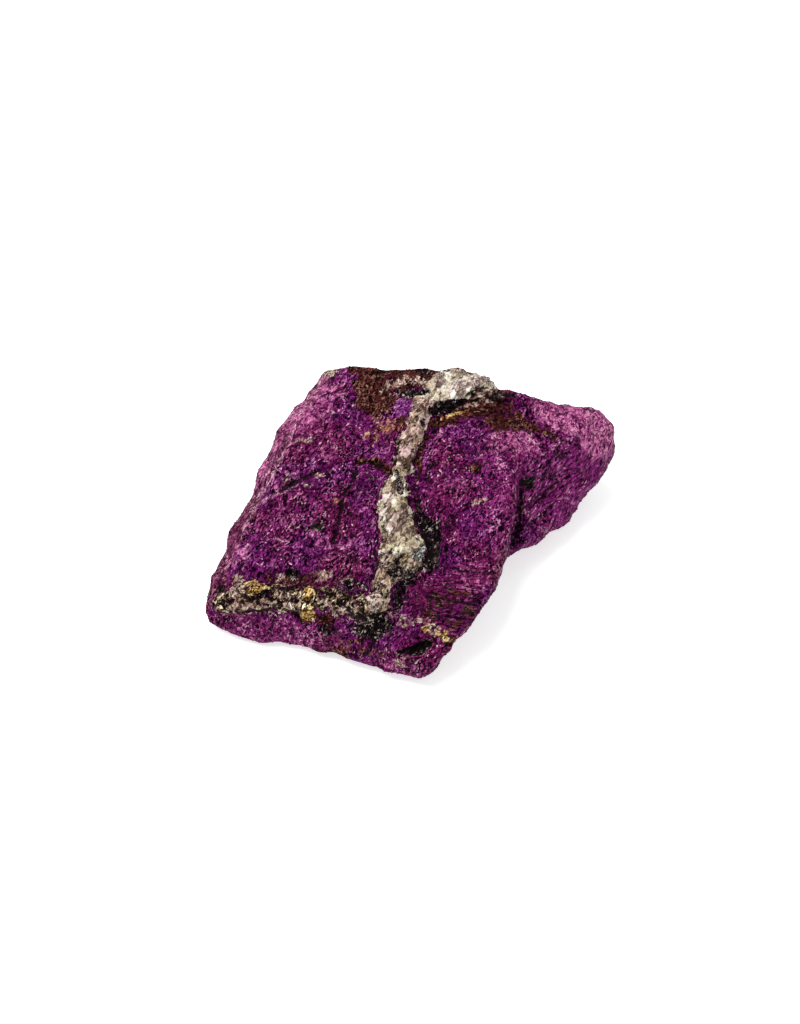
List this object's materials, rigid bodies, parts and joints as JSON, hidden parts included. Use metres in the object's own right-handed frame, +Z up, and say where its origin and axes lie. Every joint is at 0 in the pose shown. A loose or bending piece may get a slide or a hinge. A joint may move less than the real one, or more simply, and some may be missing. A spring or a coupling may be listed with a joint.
{
  "type": "purpurite specimen",
  "caption": "Rough violet purpurite hand specimen: a sloping slab with a side lobe and a raised pale vein, resting on a flat broken base.",
  "frame": {"origin": "middle of the stone's bounding box, on the table plane under it", "axes": "+X across the stone towards the side lobe, +Y from the low front edge towards the high back edge, +Z up from the flat broken base"},
  "size_m": [0.0504, 0.0412, 0.0191],
  "materials": {
    "purpurite": "satin",
    "pale_vein": "satin"
  },
  "bodies": {
    "root": {"purpurite_stone": "purpurite"}
  },
  "joints": []
}
